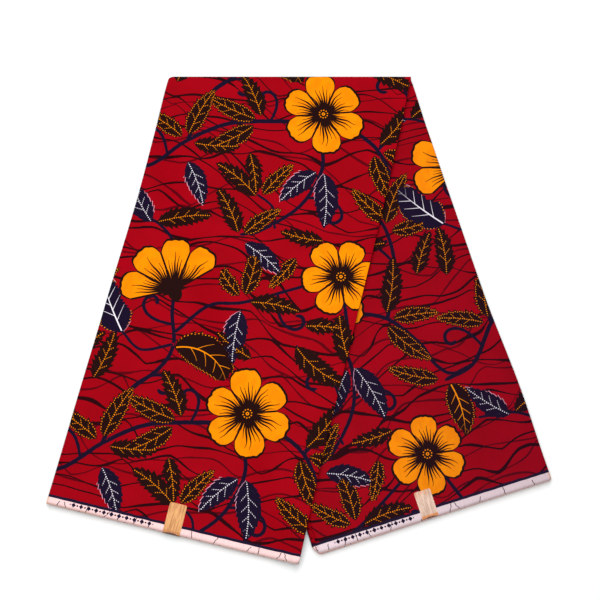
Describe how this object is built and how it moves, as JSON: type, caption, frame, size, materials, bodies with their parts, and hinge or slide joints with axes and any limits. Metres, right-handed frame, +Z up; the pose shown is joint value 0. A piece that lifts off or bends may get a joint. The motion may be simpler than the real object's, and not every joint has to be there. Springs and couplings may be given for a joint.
{
  "type": "folded wax print fabric",
  "caption": "Length of wax print cotton, lapped and folded to a long strip, turned over at the top and fanned into two overlapping stretches, with blank foil seals at the selvedge ends.",
  "frame": {"origin": "on the surface that the cloth lies on, under the middle of its box in plan", "axes": "+Z up from the surface, +Y towards the turned end of the strip, +X to the right as the front stretch is seen on top"},
  "size_m": [0.6084, 0.6248, 0.0153],
  "materials": {
    "printed_cotton": "waxed plain weave cotton, printed, slight sheen",
    "gold_foil": "metallised gold film, crinkled, blank"
  },
  "bodies": {
    "root": {"front_stretch": "printed_cotton", "turned_end": "printed_cotton", "back_stretch": "printed_cotton", "front_foil_seal": "gold_foil", "back_foil_seal": "gold_foil"}
  },
  "joints": []
}
